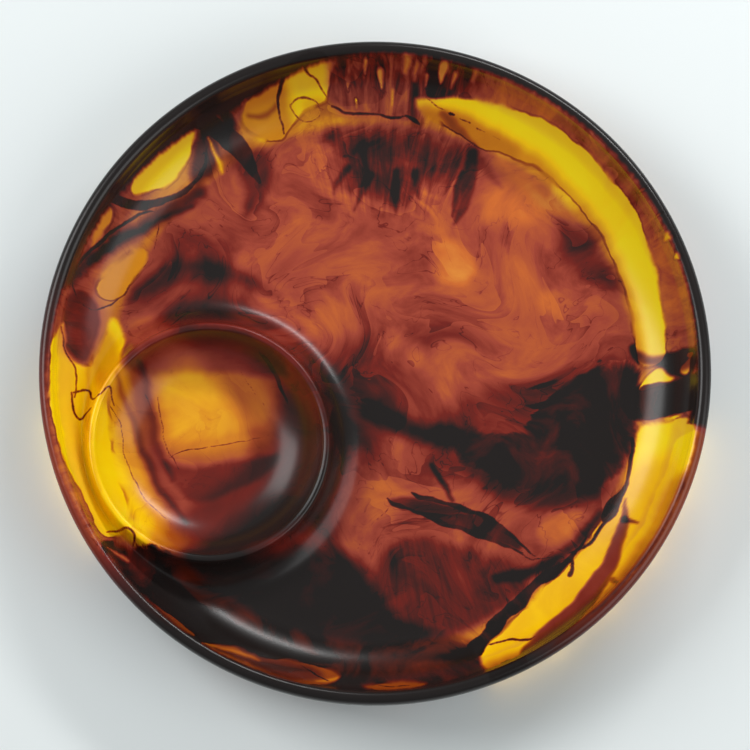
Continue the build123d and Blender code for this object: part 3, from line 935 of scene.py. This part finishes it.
@dataclass(frozen=True)
class ResinFinish:
    """Tinted epoxy resin, cast, then sanded by hand to a satin surface.

    The dye takes light out, so that a little shows yellow, more shows orange and red-brown, and
    a lot shows black. Sanding leaves broad, soft highlights. All widths are in millimetres.

    Attributes:
        amber: colours from no dye to much dye, in yellow resin, as (amount, colour).
        red: the same in red resin.
        roughness: the sanded surface's roughness.
        ior: index of refraction of cured epoxy.
        shine: strength of the reflections, where 0.5 is a polished surface.
        bank: width of a bank of smoke.
        wisp: width of a wisp of smoke.
        thread: spacing of the fine threads.
        fold: width of a folded sheet of smoke.
        drip: spacing of the drips below the lip.
        fringe: width of the ragged fringe of a crisp pour.
        grit: width of a sanding mark, drawn coarser than real so that it shows.
    """

    amber: tuple = ((0.0, "#FFE008"), (0.12, "#FFCC00"), (0.30, "#DC8C0C"), (0.50, "#A44A0C"),
                    (0.70, "#5E1B08"), (0.95, "#140C0A"))
    red: tuple = ((0.0, "#E0923A"), (0.24, "#C8672C"), (0.46, "#9E4230"), (0.64, "#722018"),
                  (0.80, "#431C19"), (0.93, "#1F1A19"))
    roughness: float = 0.25
    ior: float = 1.5
    shine: float = 0.32
    bank: float = 48.0
    wisp: float = 26.0
    thread: float = 30.0
    fold: float = 34.0
    drip: float = 5.0
    fringe: float = 2.4
    grit: float = 0.7

    def _clouds(self, tree: bpy.types.NodeTree, where: object, size: float, detail: float,
                **more: float) -> Amount:
        """Noise with lumps of a size in millimetres, about 0 to 1."""
        scale = 1 / (size * MM)
        noise = add_node(tree, "ShaderNodeTexNoise", Vector=where, Scale=scale, Detail=detail, **more)
        return Amount(tree, noise.outputs["Fac"])

    def _ramp(self, tree: bpy.types.NodeTree, amount: Amount, stops: tuple) -> object:
        """The colour of resin with an amount of dye."""
        node = add_node(tree, "ShaderNodeValToRGB", Fac=amount.socket)
        elements = node.color_ramp.elements
        while len(elements) < len(stops):
            elements.new(0.5)
        for element, (place, colour) in zip(elements, stops):
            element.position = place
            element.color = linear(colour)
        return node.outputs["Color"]

    def dye(self, tree: bpy.types.NodeTree) -> tuple[Amount, Amount]:
        """The amount of dye at a point, and how red the resin is.

        Smoke is a soft veil broken up by wisps, folded sheets, drips and fine threads. A crisp
        pour is where its depth, with a fringe of fine noise, passes zero. Later pours cover
        earlier ones: dark under, clear, dark over, and the band over the lip.
        """
        def carried(name: str, output: str = "Fac") -> object:
            """One of the values that the mesh carries."""
            return add_node(tree, "ShaderNodeAttribute", {"attribute_name": name}).outputs[output]

        def value(name: str) -> Amount:
            """One of the mesh's values as an amount."""
            return Amount(tree, carried(name))

        flow, comb = carried("flow", "Vector"), carried("comb", "Vector")
        banks = self._clouds(tree, flow, self.bank, 2.0, Roughness=0.5)
        wisps = self._clouds(tree, flow, self.wisp, 7.0, Roughness=0.58, Distortion=0.35)
        fine = self._clouds(tree, flow, self.fringe, 4.0, Roughness=0.6)
        folds = self._clouds(tree, flow, self.fold, 2.0, Roughness=0.45, Distortion=0.8)
        veins = self._clouds(tree, flow, self.thread, 3.0, Roughness=0.5, Distortion=1.4)
        running = self._clouds(tree, comb, self.drip, 3.0, Roughness=0.6, Distortion=0.6)
        fringe = fine.times_plus(2.4, -1.2)
        patchy = wisps.step(0.36, 0.60)
        unrest = value("calm").rest()
        blurred = folds.step(0.35, 0.65)

        # Smoke: wisps, streaks of drips, hair-thin threads, and sheets that end at a crisp edge.
        curls = banks.times_plus(0.5, wisps.times_plus(0.72, -0.61)) * unrest
        streaks = (running - 0.5) * value("drips")
        threads = abs(veins - 0.5).step(0.0, 0.010).rest() * patchy * 0.16
        sheets = folds.saw(4.0).times_plus(0.15, -0.075) * patchy
        smoky = curls + value("smoke") + streaks * 2.0 + (threads + sheets) * unrest

        # Dark under: crisp in places and blurred over some millimetres in others.
        black = wisps + 0.42
        below = value("under") + fringe + wisps.times_plus(16.0, -8.0)
        amount = smoky.most((below / blurred.times_plus(7.0, 1.4)).step(-1.0, 1.0) * black)

        # Clear resin, with a dark line along its crisp edges.
        edge = fringe.times_plus(0.35, value("clear")) / blurred.times_plus(2.4, 0.8)
        in_clear = edge.step(-0.7, 0.7)
        amount = amount.towards(curls.times_plus(0.25, value("tint")), in_clear)
        amount = abs(edge).step(0.8, 0.15, 0.28).times_plus(blurred.rest(), amount)

        # Dark over, then the band over the lip.
        above = fringe.times_plus(0.35, value("over")).step(-0.7, 0.9)
        amount = amount.most(above * black)
        band = fringe.times_plus(0.25, value("band")).step(-2.6, 0.8)
        amount = amount.towards(value("bandclear").times_plus(-0.55, 1.0), band)
        return amount, (folds - 0.5).times_plus(0.6, value("warmth")) - in_clear

    def make(self, name: str) -> bpy.types.Material:
        """Makes the material.

        Args:
            name: its name.

        Returns:
            The material.
        """
        material = bpy.data.materials.new(name)
        material.use_nodes = True
        tree = material.node_tree
        shader = tree.nodes["Principled BSDF"]
        amount, warmth = self.dye(tree)
        colour = add_node(tree, "ShaderNodeMix", {"data_type": "RGBA", "clamp_factor": True},
                          i0=warmth.socket, i6=self._ramp(tree, amount, self.amber),
                          i7=self._ramp(tree, amount, self.red))
        tree.links.new(colour.outputs[2], shader.inputs["Base Color"])
        where = add_node(tree, "ShaderNodeTexCoord").outputs["Object"]
        rough = self._clouds(tree, where, self.grit, 2.0).times_plus(0.10, self.roughness - 0.05)
        tree.links.new(rough.socket, shader.inputs["Roughness"])
        shader.inputs["IOR"].default_value = self.ior
        shader.inputs["Specular IOR Level"].default_value = self.shine
        return material


# --- The pieces -------------------------------------------------------------------------------


@dataclass
class Casting:
    """The casting, parted into its pours of resin.

    Attributes:
        grid: the whole surface.
        dye: the dye in it.
        finish: the resin's finish.
        slots: the record's material slot of each pour. Not used.
        rim_pours: names of the pours over the lip, by the angle where each starts and ends.
        wall_pours: the same for the platter's wall.
        well_wall_pours: the same for the well's wall, by the angle about the well's axis.
        streak: outline of the black streak across the floor.
        front: outline of the dark front of the floor.
        floor_edge: radius where the floor's pours end.
        band_edge: radius where the rim's pours start.
        well_floor_edge: distance from the well's axis where its floor ends.
        well_wall_edge: distance from the well's axis where its wall ends.
        well_foot_edge: distance from the well's axis where the pour round its foot ends.
    """

    grid: CastingGrid
    dye: Dye
    finish: ResinFinish
    slots: dict[str, str]
    rim_pours: dict = field(default_factory=lambda: {
        "black_rim_band": (-10, 192), "red_rim_band": (192, 236), "black_front_rim_band": (236, 290),
        "brown_rim_band": (290, 350),
    })
    wall_pours: dict = field(default_factory=lambda: {
        "black_tongue": (-17, -3), "amber_right_wall": (-3, 76), "red_fringe_wall": (76, 118),
        "amber_window": (118, 138), "streaked_wall": (138, 164), "amber_left_wall": (164, 222),
        "black_front_wall": (222, 288), "amber_front_right_wall": (288, 343),
    })
    well_wall_pours: dict = field(default_factory=lambda: {
        "amber_well_wall": (140, 262), "dark_well_wall": (262, 500),
    })
    streak: Points = field(default_factory=lambda: [
        (150, -3), (128, 4), (104, -4), (78, -8), (52, -16), (22, -20), (24, -34), (54, -42), (84, -50),
        (112, -56), (132, -46), (150, -42),
    ])
    front: Points = field(default_factory=lambda: [
        (-150, -84), (-96, -96), (-40, -104), (0, -96), (34, -106), (52, -128), (60, -170), (-60, -190),
        (-150, -150),
    ])

    floor_edge: float = 138.0
    band_edge: float = 166.0
    well_floor_edge: float = 40.0
    well_wall_edge: float = 66.0
    well_foot_edge: float = 92.0

    def name_faces(self, x: np.ndarray, y: np.ndarray) -> np.ndarray:
        """Names the pour that each place in plan belongs to.

        Args:
            x: places along X.
            y: places along Y.

        Returns:
            An array of names.
        """
        well = self.grid.well
        r, rho = np.hypot(x, y), np.hypot(x - well.x, y - well.y)
        turn = np.degrees(np.arctan2(y, x)) % 360
        well_turn = np.degrees(np.arctan2(y - well.y, x - well.x)) % 360
        names = np.full(x.shape, "amber_floor", dtype="U32")
        names[depth_inside(self.front, x, y) > 0] = "dark_front_floor"
        names[depth_inside(self.streak, x, y) > 0] = "black_floor_streak"
        # The faces round the well's foot. Their dye is darkened partly by the resin's smoke and partly by
        # painted shade in the flank's hollow.
        names[rho < self.well_foot_edge] = "dark_well_foot"
        rings = (
            (r > self.floor_edge, turn, self.wall_pours),
            (rho < self.well_wall_edge, well_turn, self.well_wall_pours),
            (rho < self.well_floor_edge, well_turn, {"amber_well_floor": (0, 360)}),
            (r > self.band_edge, turn, self.rim_pours),
        )
        for ring, angle, pours in rings:
            for name, (start, end) in pours.items():
                names[ring & ((angle - start) % 360 <= end - start)] = name
        return names

    def build(self) -> list[bpy.types.Object]:
        """Builds one object for each pour.

        The grid's first and last rows are the two poles, each one point. A face goes to the
        pour that its middle lies in, so neighbouring pieces share their edge's points and their
        directions there, and no seam shows.
        """
        points = self.grid.build()
        values = self.dye.at(points)
        rows, columns = points.shape[:2]
        normals = self._normals(points)
        ids = np.arange(rows * columns).reshape(rows, columns)
        ids[0], ids[-1] = ids[0, 0], ids[-1, 0]
        ahead = np.roll(ids, -1, axis=1)
        faces = np.stack([ids[:-1], ids[1:], ahead[1:], ahead[:-1]], axis=2)
        middle = (points[:-1] + points[1:] + np.roll(points[1:] + points[:-1], -1, axis=1)) / 4
        names = self.name_faces(middle[..., 0], middle[..., 1]).reshape(-1)
        faces = faces.reshape(-1, 4)
        flat = {key: value.reshape(rows * columns, -1) for key, value in values.items()}
        material = self.finish.make("satin_cast_resin")
        made = []
        for name in sorted(set(names)):
            mine = faces[names == name]
            mesh = self._mesh(name, mine, points.reshape(-1, 3), normals.reshape(-1, 3), flat)
            mesh.materials.append(material)
            piece = bpy.data.objects.new(f"{name}_cast", mesh)
            bpy.context.scene.collection.objects.link(piece)
            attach(piece, "root")
            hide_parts(name)
            made.append(piece)
            LOG.info("%s: %d faces", piece.name, len(mesh.polygons))
        return made

    def _normals(self, points: np.ndarray) -> np.ndarray:
        """The outward direction at each point: the cross product of the two ways along the grid."""
        down = np.gradient(points, axis=0)
        around = np.roll(points, -1, axis=1) - np.roll(points, 1, axis=1)
        normals = np.cross(down, around)
        normals[0], normals[-1] = (0, 0, 1), (0, 0, -1)
        return normals / np.maximum(np.linalg.norm(normals, axis=2, keepdims=True), 1e-12)

    def _mesh(self, name: str, faces: np.ndarray, points: np.ndarray, normals: np.ndarray,
              values: dict[str, np.ndarray]) -> bpy.types.Mesh:
        """Puts some of the grid's faces into a mesh.

        Args:
            name: the mesh's name.
            faces: four point numbers for each face, where two are the same at a pole.
            points: all the grid's points, in millimetres.
            normals: the outward direction at each of them.
            values: the dye at each of them.

        Returns:
            The mesh, in metres.
        """
        used, numbers = np.unique(faces, return_inverse=True)
        numbers = numbers.reshape(-1, 4)
        ring = [list(dict.fromkeys(face)) for face in numbers.tolist()]
        mesh = bpy.data.meshes.new(name)
        mesh.from_pydata((points[used] * MM).tolist(), [], ring)
        mesh.shade_smooth()
        for key, value in values.items():
            vector = value.shape[1] == 3
            kind, slot = ("FLOAT_VECTOR", "vector") if vector else ("FLOAT", "value")
            attribute = mesh.attributes.new(key, kind, "POINT")
            attribute.data.foreach_set(slot, value[used].astype(np.float32).ravel())
        mesh.normals_split_custom_set_from_vertices(normals[used])
        mesh.update()
        return mesh


# --- The studio -------------------------------------------------------------------------------


@dataclass
class Studio:
    """A pale table, soft lamps and a camera that looks almost straight down.

    Attributes:
        elevation: the camera's angle above the table.
        lens: the camera's focal length, in millimetres.
        view_width: width of what the camera sees at the point that it aims at, in metres.
        aim: height of the point in the middle of the view, in metres.
        sky: colour and strength of the light from all round.
        lamps: the large lamps, each as its place, its two sides and its power.
        glows: angles of the small lamps that stand for the light that the clear resin throws.
        glow_place: radius and height of these lamps, in metres.
        glow_light: their power and colour.
        table_finish: the table's colour and roughness.
    """

    elevation: float = 80.6
    lens: float = 600.0
    view_width: float = 0.391
    aim: float = 0.0305
    sky: tuple[str, float] = ("#E4ECEE", 0.34)
    lamps: dict = field(default_factory=lambda: {
        "left": ((-1.3, 0.5, 1.2), (1.0, 1.0), 18.0),
        "right": ((1.3, -0.5, 1.1), (1.4, 1.4), 13.0),
        "far_right": ((0.51, 0.96, 0.80), (0.8, 0.14), 8.4),
    })
    glows: tuple = (-62, -50, -38, -26, -14, 192, 204)
    glow_place: tuple[float, float] = (0.166, 0.006)
    glow_light: tuple[float, str] = (0.0011, "#FFD060")
    table_finish: tuple[str, float] = ("#E4E9E9", 0.75)

    def lamp(self, name: str, place: tuple, size: tuple, watts: float, colour: str = "#FFFFFF",
             target: tuple = (0, 0, 0)) -> None:
        """Adds a soft rectangular lamp.

        Args:
            name: the lamp's name.
            place: where it stands, in metres.
            size: its two sides, in metres.
            watts: its power.
            colour: its colour.
            target: the point that it faces, in metres.
        """
        data = bpy.data.lights.new(name, "AREA")
        data.shape = "RECTANGLE"
        data.size, data.size_y = size
        data.energy = watts
        data.color = linear(colour)[:3]
        lamp = bpy.data.objects.new(name, data)
        lamp.location = place
        lamp.rotation_euler = (Vector(target) - lamp.location).to_track_quat("-Z", "Y").to_euler()
        bpy.context.scene.collection.objects.link(lamp)

    def table(self) -> None:
        """Adds the pale table that the platter stands on."""
        half, drop = 3.0, 0.0002
        corners = [(-half, -half, -drop), (half, -half, -drop), (half, half, -drop), (-half, half, -drop)]
        mesh = bpy.data.meshes.new("table")
        mesh.from_pydata(corners, [], [(0, 1, 2, 3)])
        material = bpy.data.materials.new("pale_table")
        material.use_nodes = True
        shader = material.node_tree.nodes["Principled BSDF"]
        shader.inputs["Base Color"].default_value = linear(self.table_finish[0])
        shader.inputs["Roughness"].default_value = self.table_finish[1]
        mesh.materials.append(material)
        table = bpy.data.objects.new("table", mesh)
        bpy.context.scene.collection.objects.link(table)

    def camera(self) -> None:
        """Adds the camera."""
        data = bpy.data.cameras.new("camera")
        data.lens = self.lens
        distance = self.view_width * self.lens / data.sensor_width
        tilt = math.radians(self.elevation)
        camera = bpy.data.objects.new("camera", data)
        camera.location = (0, -distance * math.cos(tilt), self.aim + distance * math.sin(tilt))
        camera.rotation_euler = (math.pi / 2 - tilt, 0, 0)
        bpy.context.scene.collection.objects.link(camera)
        bpy.context.scene.camera = camera

    def build(self) -> None:
        """Sets the studio up."""
        self.table()
        self.camera()
        world = bpy.data.worlds.new("studio")
        world.use_nodes = True
        background = world.node_tree.nodes["Background"]
        background.inputs["Color"].default_value = linear(self.sky[0])
        background.inputs["Strength"].default_value = self.sky[1]
        bpy.context.scene.world = world
        bpy.context.scene.view_settings.view_transform = "Standard"
        for name, (place, size, watts) in self.lamps.items():
            self.lamp(name, place, size, watts)
        radius, height = self.glow_place
        for turn in self.glows:
            way = Vector((math.cos(math.radians(turn)), math.sin(math.radians(turn)), 0))
            place = way * radius + Vector((0, 0, height))
            self.lamp(f"glow_{turn % 360}", place, (0.04, 0.004), *self.glow_light, way * 0.25)


def main() -> None:
    """Builds the studio and the platter."""
    logging.basicConfig(level=logging.INFO, format="%(name)s: %(message)s")
    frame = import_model()
    Studio().build()
    pours = RIGHT_WALL + TOP_WALL + UPPER_LEFT_WALL + LEFT_WALL + FRONT_WALL + FRONT_RIGHT_WALL + FLOOR + WELL
    grid = CastingGrid(PlatterForm(), WellForm())
    slots = {part["node"]: part["material_slot"] for part in frame["record"]["subparts"]}
    Casting(grid, Dye(pours), ResinFinish(), slots).build()


if __name__ == "__main__":
    main()
